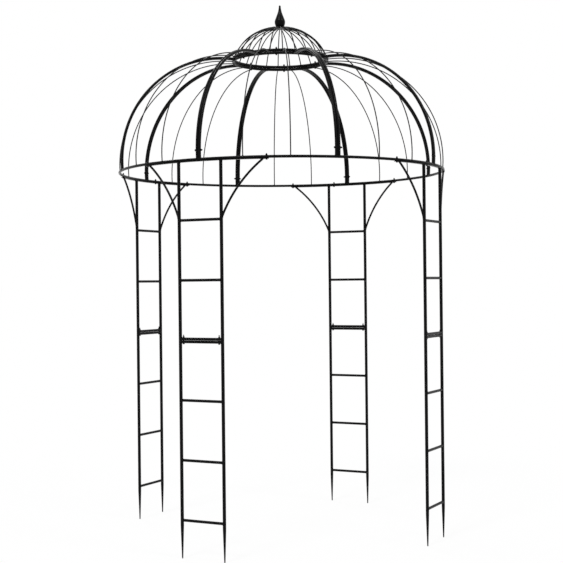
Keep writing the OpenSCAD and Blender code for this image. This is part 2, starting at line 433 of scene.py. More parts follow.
class FlatBar(Recipe):
    """A flat bar with eased edges, rolled to a ring's curve."""

    INPUTS = {"Ring Radius": 1.0, "Height": 0.0, "Half Sweep": 23.0, "Middle Angle": 0.0}
    INPUTS |= {"Width": 0.02, "Thickness": 0.004, "Eased Edge": 0.0007, "Steps": 48}

    def build(self) -> None:
        """Sweeps a rectangle with rounded corners along the ring's curve."""
        half = self["Half Sweep"].radians()
        sockets = {
            "Resolution": self["Steps"],
            "Radius": self["Ring Radius"],
            "Start Angle": 0.0 - half,
            "Sweep Angle": half * 2.0,
        }
        arc = self.add("GeometryNodeCurveArc", sockets, mode="RADIUS")["Curve"]
        arc = self.add("GeometryNodeSetCurveNormal", {"Curve": arc}, mode="Z_UP")[0]
        sockets = {"Width": self["Width"], "Height": self["Thickness"]}
        outline = self.add("GeometryNodeCurvePrimitiveQuadrilateral", sockets)[0]
        sockets = {"Curve": outline, "Count": 3, "Radius": self["Eased Edge"]}
        outline = self.add("GeometryNodeFilletCurve", sockets, mode="POLY")[0]
        sockets = {
            "Geometry": self.sweep(arc, outline),
            "Translation": self.vector(z=self["Height"]),
            "Rotation": self.about_axis(self["Middle Angle"]),
        }
        self.close(self.add("GeometryNodeTransform", sockets)[0])


class Rungs(Recipe):
    """Level rungs between two uprights, each end coped to the upright's round."""

    INPUTS = {"Span": 0.27, "Out": 1.0, "Lowest": 0.2, "Pitch": 0.333, "Angle": 0.0}
    INPUTS |= {"Radius": 0.0065, "Upright Radius": 0.008, "Bite": 0.0003, "Count": 3, "Sides": 28}

    def build(self) -> None:
        """Shapes both ends of a cylinder to the uprights and copies it upwards."""
        sockets = {
            "Vertices": self["Sides"],
            "Side Segments": 9,
            "Radius": self["Radius"],
            "Depth": self["Span"],
        }
        rod = self.add("GeometryNodeMeshCylinder", sockets, fill_type="TRIANGLE_FAN")["Mesh"]
        place = self.add("ShaderNodeSeparateXYZ", {0: self.add("GeometryNodeInputPosition")[0]})
        half = self["Span"] / 2.0
        end = place["Z"].math("SIGN", place["Z"])
        hollow = (self["Upright Radius"] ** 2.0 - place["X"] * place["X"]).root() - self["Bite"]
        reach = (place["Z"] * end).at_most(half - hollow)
        coped = self.vector(place["X"], reach * end, place["Y"])
        rod = self.add("GeometryNodeSetPosition", {"Geometry": rod, "Position": coped})[0]
        rod = self.add("GeometryNodeFlipFaces", {"Mesh": rod})[0]
        height = self["Lowest"] + self.index() * self["Pitch"]
        stack = self.copies(self.row(self["Count"], self.vector(self["Out"], 0.0, height)), rod)
        self.close(self.swung(stack, self["Angle"]))


class Uprights(Recipe):
    """Two upright tubes with a small chamfer at each end, or drawn to a blunt spike at the foot."""

    INPUTS = {"Span": 0.27, "Out": 1.0, "Foot": 0.0, "Head": 1.0, "Angle": 0.0}
    INPUTS |= {"Radius": 0.008, "Taper": 0.1, "Tip Radius": 0.0025, "Sides": 28}
    # Shares of the radius and of the spike's length.
    CHAMFER = 0.06
    TAPER_STEPS = (0.25, 0.5, 0.75)

    def build(self) -> None:
        """Turns one upright from its outline and sets two of them side by side."""
        foot, head, radius, tip = (self[k] for k in ("Foot", "Head", "Radius", "Tip Radius"))
        taper = self["Taper"]
        ease = radius * self.CHAMFER
        outline = [(foot, tip - ease), (foot + ease, tip)]
        outline += [(foot + taper * k, tip + (radius - tip) * k) for k in self.TAPER_STEPS]
        outline += [(foot + taper, radius), ((foot + taper + head) / 2.0, radius)]
        outline += [(head - ease, radius), (head, radius - ease)]
        tube = self.turned(outline, self["Sides"])
        side = (self.index() - 0.5) * self["Span"]
        pair = self.copies(self.row(2, self.vector(self["Out"], side, 0.0)), tube)
        self.close(self.swung(pair, self["Angle"]))


class WeldBeads(Recipe):
    """Weld beads with the ripples of the welder's passes, along closed guide paths."""

    INPUTS = {"Bead Radius": 0.002, "Ripple Pitch": 0.0026, "Ripple Depth": 0.12}
    INPUTS |= {"Unevenness": 0.16, "Step": 0.0009, "Sides": 7, "Seed": 4.0}
    WANDER_SCALE = 260.0

    def build(self) -> None:
        """Sweeps a bead whose size swells once per ripple and wanders a little."""
        path = self.add("GeometryNodeMeshToCurve", {"Mesh": self["Geometry"]})[0]
        sockets = {"Curve": path, "Length": self["Step"]}
        path = self.add("GeometryNodeResampleCurve", sockets, mode="LENGTH")[0]
        length = self.add("GeometryNodeSplineLength")["Length"]
        pitches = length / self["Ripple Pitch"]
        ripples = pitches.math("ROUND", pitches)
        along = self.add("GeometryNodeSplineParameter")["Factor"]
        swell = 1.0 + self["Ripple Depth"] * (along * ripples * math.tau).wave()
        place = self.add("GeometryNodeInputPosition")[0]
        sockets = {"Vector": place, "W": self["Seed"], "Scale": self.WANDER_SCALE, "Detail": 1.0}
        noise = self.add("ShaderNodeTexNoise", sockets, noise_dimensions="4D")
        wander = 1.0 + self["Unevenness"] * (noise["Fac"] - 0.5) * 2.0
        size = self["Bead Radius"] * swell * wander
        self.close(self.swelling(path, size, self["Sides"]))


class Bolts(Recipe):
    """Hexagon bolts with two washers and a nut, at guide points that carry their axes."""

    INPUTS = {"Grip": 0.026, "Thread End": 0.041, "Radius": 0.003, "Hex Width": 0.01}
    INPUTS |= {"Head Height": 0.004, "Nut Height": 0.005, "Washer Radius": 0.006}
    INPUTS |= {"Washer Height": 0.0012, "Thread Pitch": 0.001, "Thread Depth": 0.0003}
    # Shares: of the head's height, twice of a corner's distance out, and of a washer's height.
    CHAMFER = 0.16
    CROWN = 0.84
    SEAT = 0.9
    WASHER_EASE = 0.2
    HEX_SIDES = 6
    ROUND_SIDES = 16
    WASHER_SIDES = 24

    def build(self) -> None:
        """Builds one bolt along +Z, clamping from 0 to the grip, and copies it to each point."""
        grip, radius, washer = (self[k] for k in ("Grip", "Radius", "Washer Height"))
        corner = self["Hex Width"] / math.sqrt(3.0)
        crown = corner * self.CROWN
        chamfer = self["Head Height"] * self.CHAMFER
        seat = 0.0 - washer
        top = seat - self["Head Height"]
        head = self.turned([(top, crown), (top + chamfer, corner), (seat, corner)], self.HEX_SIDES)
        low = grip + washer
        high = low + self["Nut Height"]
        steps = [(low, corner * self.SEAT), (low + chamfer, corner)]
        steps += [(high - chamfer, corner), (high, crown)]
        nut = self.turned(steps, self.HEX_SIDES)
        steps = [(seat, radius), (grip / 2.0, radius), (high, radius)]
        shank = self.turned(steps, self.ROUND_SIDES)
        bolt = self.together(head, self.washer(seat), shank, self.washer(grip), nut, self.thread(high))
        sockets = {
            "Primary Axis": self.carried("axis", "FLOAT_VECTOR"),
            "Secondary Axis": self.carried("flat", "FLOAT_VECTOR"),
        }
        axes = {"primary_axis": "Z", "secondary_axis": "X"}
        turn = self.add("FunctionNodeAxesToRotation", sockets, **axes)[0]
        points = self.add("GeometryNodeMeshToPoints", {"Mesh": self["Geometry"]})[0]
        self.close(self.copies(points, bolt, turn))

    def washer(self, foot: Field | float) -> Field:
        """A flat washer that lies from that height up."""
        out, height = self["Washer Radius"], self["Washer Height"]
        ease = height * self.WASHER_EASE
        top = foot + height
        steps = [(foot, out - ease), (foot + ease, out), (top - ease, out), (top, out - ease)]
        return self.turned(steps, self.WASHER_SIDES)

    def thread(self, foot: Field) -> Field:
        """The threaded end above that height, as a row of ridges with a chamfered point."""
        end, pitch, depth = (self[k] for k in ("Thread End", "Thread Pitch", "Thread Depth"))
        turns = (end - foot) / pitch
        count = turns.math("FLOOR", turns) * 2.0
        line = self.add("GeometryNodeMeshLine", {"Count": count + 1.0})[0]
        path = self.add("GeometryNodeMeshToCurve", {"Mesh": line})[0]
        number = self.index()
        height = self.vector(z=foot + (end - foot) * number / count)
        path = self.add("GeometryNodeSetPosition", {"Geometry": path, "Position": height})[0]
        tip = number.math("GREATER_THAN", number, count - 0.5) * depth
        radius = self["Radius"] - depth * (number % 2.0) - tip
        return self.swelling(path, radius, self.ROUND_SIDES)


class Turned(Recipe):
    """A solid turned about the Z axis, from a guide line whose points carry their radius."""

    INPUTS = {"Sides": 64}

    def build(self) -> None:
        """Sweeps a circle up the line, as wide at each point as that point says."""
        path = self.add("GeometryNodeMeshToCurve", {"Mesh": self["Geometry"]})[0]
        girth = self.carried("girth", "FLOAT")
        self.close(self.swelling(path, girth, self["Sides"]))


# ---- finishes ----


class Slot(Enum):
    """The record's material slots."""

    LADDER = "ladder_paint"
    DOME = "dome_paint"
    WIRE = "wire_paint"
    BOLT = "bolt_paint"
    CASTING = "casting_paint"


def spread(noise: Field, ends: tuple[float, float]) -> Field:
    """A noise of 0 to 1 stretched to run from one end to the other."""
    low, high = ends
    return low + (high - low) * noise


@dataclass(frozen=True)
class PowderCoat:
    """Black powder coat baked onto steel: fine orange peel, patches of sheen, and a little dust that
    also paints a highlight on the faces that look up.

    Attributes:
        slot: The material slot that it belongs to.
        shade: Linear grey of the coat.
        roughness: Mean roughness.
        patches: How far the roughness goes up and down from that.
        peel: Ripples of the orange peel per metre.
        relief: Height of that peel.
        dust: Share of dust and painted highlight, a paler colour on the faces that look up.
    """

    slot: Slot
    shade: float = 0.003
    roughness: float = 0.29
    patches: float = 0.1
    peel: float = 620.0
    relief: float = 0.00002
    dust: float = 0.1

    PATCH_SCALE = 9.0
    SPECK_SCALE = 1400.0
    PATCH_DETAIL = 4.0
    FINE_DETAIL = 2.0
    # What the coat's shade is multiplied by, from the noise's low end to its high end.
    PATCH_TONES = (0.8, 1.2)
    SPECK_TONES = (0.9, 1.1)
    DUST_SPECKS = (0.6, 1.4)
    # Dust and painted highlight lie where the patches pass this value and thicken at this rate; the
    # dust adds this roughness.
    DUST_FROM = 0.4
    DUST_EDGE = 4.0
    DUST_ROUGHNESS = 0.6
    SPECULAR = 0.06
    TINT = (0.98, 0.99, 1.05)
    # Paler colour of the dust, which also stands in for a painted highlight on the faces that look up.
    DUST_COLOUR = (0.075, 0.068, 0.058, 1.0)

    def material(self) -> Material:
        """Builds the node material of this coat."""
        made = bpy.data.materials.new(self.slot.value)
        graph = blank(made)
        place = graph.add("ShaderNodeTexCoord")["Object"]
        patch = self.noise(graph, place, self.PATCH_SCALE, self.PATCH_DETAIL)
        speck = self.noise(graph, place, self.SPECK_SCALE, self.FINE_DETAIL)
        peel = self.noise(graph, place, self.peel, self.FINE_DETAIL)
        normal = graph.add("ShaderNodeSeparateXYZ", {0: graph.add("ShaderNodeNewGeometry")["Normal"]})
        # A paler colour on the faces that look up, in patches: dust, and a painted highlight.
        dust_and_highlight_patches = ((patch - self.DUST_FROM) * self.DUST_EDGE).at_least(0.0).at_most(1.0)
        upward_dust_and_highlight = normal["Z"].at_least(0.0) ** 2.0 * dust_and_highlight_patches
        dust = upward_dust_and_highlight * self.dust * spread(speck, self.DUST_SPECKS)
        tone = spread(patch, self.PATCH_TONES) * spread(speck, self.SPECK_TONES)
        coat = self.scaled(graph, tuple(self.shade * part for part in self.TINT), tone)
        sockets = {"Factor": dust, "A": coat, "B": self.DUST_COLOUR}
        colour = graph.add("ShaderNodeMix", sockets, data_type="RGBA", clamp_factor=True)["Result"]
        uneven = self.patches * 2.0 * (patch - 0.5)
        rough = self.roughness + uneven + dust * self.DUST_ROUGHNESS
        sockets = {"Strength": 1.0, "Distance": self.relief, "Height": peel}
        bump = graph.add("ShaderNodeBump", sockets)["Normal"]
        sockets = {"Base Color": colour, "Roughness": rough, "Normal": bump}
        sockets["Specular IOR Level"] = self.SPECULAR
        shader = graph.add("ShaderNodeBsdfPrincipled", sockets)["BSDF"]
        graph.add("ShaderNodeOutputMaterial", {"Surface": shader})
        return made

    def noise(self, graph: Graph, place: Field, scale: float, detail: float) -> Field:
        """A noise of that many features per metre, from 0 to 1."""
        sockets = {"Vector": place, "Scale": scale, "Detail": detail}
        return graph.add("ShaderNodeTexNoise", sockets)["Fac"]

    def scaled(self, graph: Graph, colour: tuple[float, float, float], factor: Field) -> Field:
        """A colour times a factor that changes over the surface."""
        return graph.add("ShaderNodeVectorMath", {0: colour, "Scale": factor}, operation="SCALE")[0]


class Finishes:
    """The materials by slot, each made once."""

    COATS = (
        PowderCoat(Slot.LADDER),
        PowderCoat(Slot.DOME, shade=0.0028),
        PowderCoat(Slot.WIRE, shade=0.0035, roughness=0.33, peel=900.0, relief=0.000012),
        PowderCoat(Slot.BOLT, shade=0.0035, roughness=0.27, peel=1100.0, relief=0.000012, dust=0.05),
        PowderCoat(Slot.CASTING, shade=0.0025, roughness=0.25, peel=300.0, relief=0.00006),
    )

    def __init__(self) -> None:
        """Builds every coat's material."""
        self.made = {coat.slot: coat.material() for coat in self.COATS}

    def __getitem__(self, slot: Slot) -> Material:
        """The material of that slot."""
        return self.made[slot]


# ---- the pavilion ----


def settle(piece: Object, slot: Slot, *nodes: str) -> None:
    """Hands a finished piece over to the frame.

    Args:
        piece: The piece, in its place.
        slot: The material slot that it takes its finish from. Not used here.
        nodes: The CAD nodes that it stands for, if any.
    """
    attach(piece, BODY)
    if nodes:
        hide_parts(*nodes)
    LOG.info("%s: %d faces, for %s", piece.name, len(piece.data.polygons), ", ".join(nodes) or "itself")


def turned_about_z(point: Vector, angle: float) -> Vector:
    """The point turned about the Z axis by that many degrees."""
    return Matrix.Rotation(math.radians(angle), 3, "Z") @ point


@dataclass(frozen=True)
class Arc:
    """An arc in the XZ plane from its foot to its head that bows out to the right of that way."""

    foot: Vector
    head: Vector
    bow: float

    @property
    def radius(self) -> float:
        """The arc's radius."""
        return (self.head - self.foot).length_squared / (8 * self.bow) + self.bow / 2

    @property
    def centre(self) -> Vector:
        """The arc's centre."""
        along = (self.head - self.foot).normalized()
        inwards = Vector((-along.z, 0, along.x))
        return (self.foot + self.head) / 2 + (self.radius - self.bow) * inwards

    def way(self, end: Vector) -> Vector:
        """The direction from that end of the arc into the arc."""
        spoke = (end - self.centre).normalized()
        along = Vector((-spoke.z, 0, spoke.x))
        return along if end == self.foot else -along

    def out_at(self, height: float) -> float:
        """How far from the Z axis the arc is at that height, on its outer half."""
        return self.centre.x + math.sqrt(self.radius**2 - (height - self.centre.z) ** 2)


class Seams:
    """Closed paths round the joints, for weld beads to follow."""

    POINTS = 28
    # A rod whose direction crossed with the vertical is shorter than this stands upright.
    PARALLEL = 1e-6

    def __init__(self) -> None:
        """Starts with no joint."""
        self.loops = []

    def round_line(self, way: Vector, side: Vector, rod: float) -> list[Vector]:
        """Offsets round a rod's line at the rod's radius, the first of them to that side."""
        over = way.cross(side).normalized()
        turns = [math.tau * k / self.POINTS for k in range(self.POINTS)]
        return [rod * (math.cos(turn) * side + math.sin(turn) * over) for turn in turns]

    def add_coped(
        self, meet: Vector, way: Vector, rod: float, axis: Vector, tube: float, angle: float
    ) -> None:
        """Adds the path where a rod's end runs onto a tube.

        Args:
            meet: Where the rod's line meets the tube's.
            way: The rod's direction away from the tube.
            rod: The rod's radius.
            axis: The tube's direction.
            tube: The tube's radius.
            angle: How far the joint is then turned about the Z axis.
        """
        flat_way = way - way.dot(axis) * axis
        loop = []
        for offset in self.round_line(way, way.cross(axis).normalized(), rod):
            flat = offset - offset.dot(axis) * axis
            lean = flat.dot(flat_way)
            depth = lean**2 - flat_way.length_squared * (flat.length_squared - tube**2)
            out = (math.sqrt(max(depth, 0.0)) - lean) / flat_way.length_squared
            loop.append(turned_about_z(meet + offset + out * way, angle))
        self.loops.append(loop)

    def add_flat(self, meet: Vector, way: Vector, rod: float, angle: float) -> None:
        """Adds the path where a rod's end runs up against a level face.

        Args:
            meet: Where the rod's line meets the face.
            way: The rod's direction away from the face.
            rod: The rod's radius.
            angle: How far the joint is then turned about the Z axis.
        """
        side = way.cross(UP)
        side = side.normalized() if side.length > self.PARALLEL else Vector((1, 0, 0))
        offsets = self.round_line(way, side, rod)
        points = [meet + offset - way * (offset.z / way.z) for offset in offsets]
        self.loops.append([turned_about_z(point, angle) for point in points])

    def mesh(self) -> Mesh:
        """The paths as loops of edges."""
        points, edges = [], []
        for loop in self.loops:
            first = len(points)
            points += loop
            edges += [(first + k, first + (k + 1) % len(loop)) for k in range(len(loop))]
        mesh = bpy.data.meshes.new("seams")
        mesh.from_pydata(points, edges, [])
        return mesh


@dataclass(frozen=True)
class Ring:
    """A level ring of round tube, to the middle of its tube, as the frame has it."""

    z: float
    r: float
    tube_r: float

    @classmethod
    def at(cls, node: str) -> "Ring":
        """The ring whose outermost point that node holds."""
        low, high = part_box(node)
        tube_r = (high.z - low.z) / 2
        return cls((low.z + high.z) / 2, max(high.x, -low.y) - tube_r, tube_r)

    def sizes(self) -> dict:
        """The ring as a recipe takes it."""
        return {"Ring Radius": self.r, "Height": self.z, "Radius": self.tube_r}


@dataclass(frozen=True)
class Sizes:
    """The sizes that the sub-assemblies share."""

    upright_r: float = 0.0095
    rung_r: float = 0.008
    brace_r: float = 0.00625
    rib_r: float = 0.008
    wire_r: float = 0.00325
    cupola_rod_r: float = 0.00325
    ladder_w: float = 0.27
    bar_w: float = 0.02
    bar_t: float = 0.004
    joint_gap: float = 0.0004
    rib_gap: float = 0.0004
    bays: int = 8
    wires_per_bay: int = 2
    cupola_rods: int = 24

    ring: Ring = field(default_factory=lambda: Ring.at("lower_ring_front"))
    top_ring: Ring = field(default_factory=lambda: Ring.at("top_ring"))
    cupola_z: float = field(default_factory=lambda: Ring.at("cupola_ring").z)

    @property
    def bar_z(self) -> float:
        """The height of the flat bars' undersides."""
        return self.ring.z - self.ring.tube_r - self.bar_t

    @property
    def upright_out(self) -> float:
        """How far out from the axis a ladder's plane stands."""
        return math.sqrt(self.ring.r**2 - (self.ladder_w / 2) ** 2)

    @property
    def bay(self) -> float:
        """The angle of one bay of the dome."""
        return 360 / self.bays


class BoltSet:
    """Bolts of one length, placed one by one."""

    def __init__(self, grip: float, shown_end: float) -> None:
        """Starts an empty set.

        Args:
            grip: The thickness that the bolts clamp.
            shown_end: How far the threaded end reaches beyond that.
        """
        self.grip = grip
        self.shown_end = shown_end
        self.points, self.axes, self.flats = [], [], []

    def add(self, seat: Vector, axis: Vector, angle: float, spin: float) -> None:
        """Adds one bolt.

        Args:
            seat: Where the clamped parts begin, on the head's side.
            axis: The bolt's direction, from its head to its nut.
            angle: How far the bolt's place is then turned about the Z axis.
            spin: How far the bolt is turned about its own axis.
        """
        across = axis.orthogonal().normalized()
        flat = Matrix.Rotation(math.radians(spin), 3, axis) @ across
        self.points.append(turned_about_z(seat, angle))
        self.axes.append(turned_about_z(axis, angle))
        self.flats.append(turned_about_z(flat, angle))

    def fit(self, shop: "Workshop", node: str) -> None:
        """Makes the set as one piece, and settles it for that CAD node."""
        guide = bpy.data.meshes.new(node)
        guide.from_pydata(self.points, [], [])
        for label, values in (("axis", self.axes), ("flat", self.flats)):
            layer = guide.attributes.new(label, "FLOAT_VECTOR", "POINT")
            layer.data.foreach_set("vector", [part for value in values for part in value])
        sizes = {"Grip": self.grip, "Thread End": self.grip + self.shown_end}
        shop.fit(Bolts, f"{node}_set", Slot.BOLT, sizes, node, guide=guide)


class Workshop:
    """The sizes, recipes and finishes that every sub-assembly is made with."""

    def __init__(self) -> None:
        """Builds every recipe and every finish once."""
        self.sizes = Sizes()
        self.finishes = Finishes()
        self.recipes = {kind: kind() for kind in Recipe.__subclasses__()}

    def make(
        self, kind: type[Recipe], name: str, slot: Slot, sizes: dict, guide: Mesh | None = None
    ) -> Object:
        """Makes one object by the recipe of that kind, in the finish of that slot."""
        return self.recipes[kind].make(name, self.finishes[slot], sizes, guide)

    def fit(
        self,
        kind: type[Recipe],
        name: str,
        slot: Slot,
        sizes: dict,
        *nodes: str,
        guide: Mesh | None = None,
    ) -> None:
        """Makes and settles one piece.

        Args:
            kind: The recipe's class.
            name: The piece's name.
            slot: The slot of its finish.
            sizes: A value for each named input that isn't left at its default.
            nodes: The CAD nodes that it stands for, if any.
            guide: Points or paths that the recipe builds on, if it needs any.
        """
        settle(self.make(kind, name, slot, sizes, guide), slot, *nodes)

    def weld(self, name: str, seams: Seams, slot: Slot, bead: float) -> None:
        """Makes and settles weld beads of that radius along some seams."""
        self.fit(WeldBeads, name, slot, {"Bead Radius": bead}, guide=seams.mesh())


@dataclass
class Ladder:
    """One ladder post: two halves bolted at the coupling, with a flat bar and braces on top.

    Attributes:
        name: Its name, as in the CAD nodes.
        angle: Where it stands round the axis.
        extra_bolt: The side of its middle that has an extra ring bolt, or 0 for none.
    """

    name: str
    angle: float
    extra_bolt: int
    lower_rungs: int = 3
    upper_rungs: int = 2
    spike_l: float = 0.185
    spike_tip_r: float = 0.0035
    plain_foot: float = 0.01
    brace_bow: float = 0.027
    brace_angle: float = 21.3
    bar_half_sweep: float = 23.2
    rung_bead: float = 0.0019
    brace_bead: float = 0.0017

    def build(self, shop: Workshop) -> None:
        """Makes every piece of the ladder."""
        s = shop.sizes
        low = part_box(f"{self.name}_lower_rungs")[0].z + s.rung_r
        seam = s.joint_gap / 2
        self.coupling_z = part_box(f"{self.name}_lower_uprights")[1].z + seam
        pitch = (self.coupling_z - low) / self.lower_rungs
        self.brace_foot_z = self.coupling_z + self.upper_rungs * pitch
        self.make_uprights(shop, "lower", 0.0, self.coupling_z - seam, self.spike_l, self.spike_tip_r)
        self.make_uprights(shop, "upper", self.coupling_z + seam, s.bar_z, self.plain_foot, s.upright_r)
        beside = s.rung_r + seam
        lower = [low + k * pitch for k in range(self.lower_rungs)] + [self.coupling_z - beside]
        upper = [self.coupling_z + (k + 1) * pitch for k in range(self.upper_rungs)]
        upper = [self.coupling_z + beside] + upper
        self.make_rungs(shop, "lower", lower)
        self.make_rungs(shop, "upper", upper)
        self.make_arch(shop)

    def make_uprights(
        self, shop: Workshop, half: str, foot: float, head: float, taper: float, tip: float
    ) -> None:
        """Makes the two uprights of one half.

        Args:
            shop: The recipes and finishes.
            half: lower or upper.
            foot: The height of their lower ends.
            head: The height of their upper ends.
            taper: The length over which they swell from the foot.
            tip: Their radius at the foot.
        """
        s = shop.sizes
        sizes = {"Span": s.ladder_w, "Out": s.upright_out, "Angle": self.angle, "Radius": s.upright_r}
        sizes |= {"Foot": foot, "Head": head, "Taper": taper, "Tip Radius": tip}
        node = f"{self.name}_{half}_uprights"
        shop.fit(Uprights, f"{node}_tubes", Slot.LADDER, sizes, node)

    def make_rungs(self, shop: Workshop, half: str, heights: list[float]) -> None:
        """Makes the rungs of one half, and the weld beads at their ends."""
        s = shop.sizes
        node = f"{self.name}_{half}_rungs"
        sizes = {"Span": s.ladder_w, "Out": s.upright_out, "Angle": self.angle}
        sizes |= {"Radius": s.rung_r, "Upright Radius": s.upright_r}
        regular = heights[:-1] if half == "lower" else heights[1:]
        alone = heights[-1] if half == "lower" else heights[0]
        step = regular[1] - regular[0]
        stacked = sizes | {"Lowest": regular[0], "Pitch": step, "Count": len(regular)}
        alone = sizes | {"Lowest": alone, "Count": 1}
        stack = shop.make(Rungs, f"{node}_rods", Slot.LADDER, stacked)
        settle(join(stack, shop.make(Rungs, f"{node}_bar", Slot.LADDER, alone)), Slot.LADDER, node)
        seams = Seams()
        for height in heights:
            for side in (-1, 1):
                meet = Vector((s.upright_out, side * s.ladder_w / 2, height))
                seams.add_coped(meet, Vector((0, -side, 0)), s.rung_r, UP, s.upright_r, self.angle)
        shop.weld(f"{self.name}_{half}_welds", seams, Slot.LADDER, self.rung_bead)

    def make_arch(self, shop: Workshop) -> None:
        """Makes the flat bar, the braces under it, and their welds."""
        s = shop.sizes
        sizes = {"Ring Radius": s.ring.r, "Height": s.bar_z + s.bar_t / 2, "Middle Angle": self.angle}
        sizes |= {"Half Sweep": self.bar_half_sweep, "Width": s.bar_w, "Thickness": s.bar_t}
        arch = shop.make(FlatBar, f"{self.name}_arch_bar", Slot.LADDER, sizes)
        seams = Seams()
        for side in (-1, 1):
            foot = Vector((s.upright_out, side * s.ladder_w / 2, 0))
            seams.add_flat(foot + UP * s.bar_z, -UP, s.upright_r, self.angle)
            head_angle = math.radians(side * self.brace_angle)
            head = s.ring.r * Vector((math.cos(head_angle), math.sin(head_angle), 0))
            plane = math.degrees(math.atan2(head.y - foot.y, head.x - foot.x))
            reach = (head - foot).length
            sizes = {"Foot Out": reach, "Foot Up": s.bar_z, "Bow": self.brace_bow}
            sizes |= {"Head Out": 0.0, "Head Up": self.brace_foot_z, "Radius": s.brace_r, "Steps": 40}
            brace = shop.make(ArchedRods, f"{self.name}_brace_{side}", Slot.LADDER, sizes)
            into_plane = Matrix.Rotation(math.radians(plane), 4, "Z")
            brace.data.transform(Matrix.Translation(foot) @ into_plane)
            brace.data.transform(Matrix.Rotation(math.radians(self.angle), 4, "Z"))
            arch = join(arch, brace)
            arc = Arc(Vector((reach, 0, s.bar_z)), Vector((0, 0, self.brace_foot_z)), self.brace_bow)
            for end, on_tube in ((arc.head, True), (arc.foot, False)):
                meet = foot + turned_about_z(end, plane)
                way = turned_about_z(arc.way(end), plane)
                if on_tube:
                    seams.add_coped(meet, way, s.brace_r, UP, s.upright_r, self.angle)
                else:
                    seams.add_flat(meet, way, s.brace_r, self.angle)
        settle(arch, Slot.LADDER, f"{self.name}_arch")
        shop.weld(f"{self.name}_arch_welds", seams, Slot.LADDER, self.brace_bead)


def join(first: Object, second: Object) -> Object:
    """The first object with the second's mesh added to its own."""
    with bpy.context.temp_override(active_object=first, selected_editable_objects=[first, second]):
        bpy.ops.object.join()
    return first


@dataclass
class Dome:
    """The dome: lower ring, double ribs, wires and top ring."""

    rib_bow: float = 0.232
    rib_bead: float = 0.0018
    wire_bead: float = 0.0012

    def build(self, shop: Workshop) -> None:
        """Makes every piece of the dome."""
        s = shop.sizes
        for quarter, name in enumerate(QUARTERS):
            first = (2 * quarter - 1) * s.bay
            sizes = s.ring.sizes() | {"Sweep": s.bay, "Gap": s.joint_gap}
            sizes |= {"Copies": 2, "First Angle": first, "Turn": s.bay}
            node = f"lower_ring_{name}"
            shop.fit(RingArcs, f"{node}_tubes", Slot.DOME, sizes, node)
        shop.fit(ClosedRing, "top_ring_tube", Slot.DOME, s.top_ring.sizes(), "top_ring")
        path = {"Foot Out": s.ring.r, "Foot Up": s.ring.z, "Bow": self.rib_bow}
        path |= {"Head Out": s.top_ring.r, "Head Up": s.top_ring.z, "Steps": 72}
        step = s.bay / (s.wires_per_bay + 1)
        for bay in range(s.bays):
            ribs = path | {"Radius": s.rib_r, "Tubes": 2, "First Angle": bay * s.bay}
            ribs["Pitch"] = 2 * s.rib_r + s.rib_gap
            shop.fit(ArchedRods, f"rib_{bay + 1}_tubes", Slot.DOME, ribs, f"rib_{bay + 1}")
            wires = path | {"Radius": s.wire_r, "Copies": s.wires_per_bay, "Turn": step, "Sides": 12}
            wires |= {"First Angle": bay * s.bay + step}
            shop.fit(ArchedRods, f"wires_{bay + 1}_rods", Slot.WIRE, wires, f"wires_{bay + 1}")
        self.make_welds(shop)

    def arc(self, s: Sizes) -> Arc:
        """The arc that ribs and wires follow."""
        foot = Vector((s.ring.r, 0, s.ring.z))
        return Arc(foot, Vector((s.top_ring.r, 0, s.top_ring.z)), self.rib_bow)

    def make_welds(self, shop: Workshop) -> None:
        """Makes the weld beads at both ends of the ribs and wires."""
        s = shop.sizes
        arc = self.arc(s)
        ribs, wires = Seams(), Seams()
        step = s.bay / (s.wires_per_bay + 1)
        for end, tube in ((arc.foot, s.ring.tube_r), (arc.head, s.top_ring.tube_r)):
            for bay in range(s.bays):
                for side in (-1, 1):
                    meet = end + SIDEWAYS * side * (s.rib_r + s.rib_gap / 2)
                    ribs.add_coped(meet, arc.way(end), s.rib_r, SIDEWAYS, tube, bay * s.bay)
                for k in range(s.wires_per_bay):
                    turn = bay * s.bay + (k + 1) * step
                    wires.add_coped(end, arc.way(end), s.wire_r, SIDEWAYS, tube, turn)
        shop.weld("rib_welds", ribs, Slot.DOME, self.rib_bead)
        shop.weld("wire_welds", wires, Slot.WIRE, self.wire_bead)


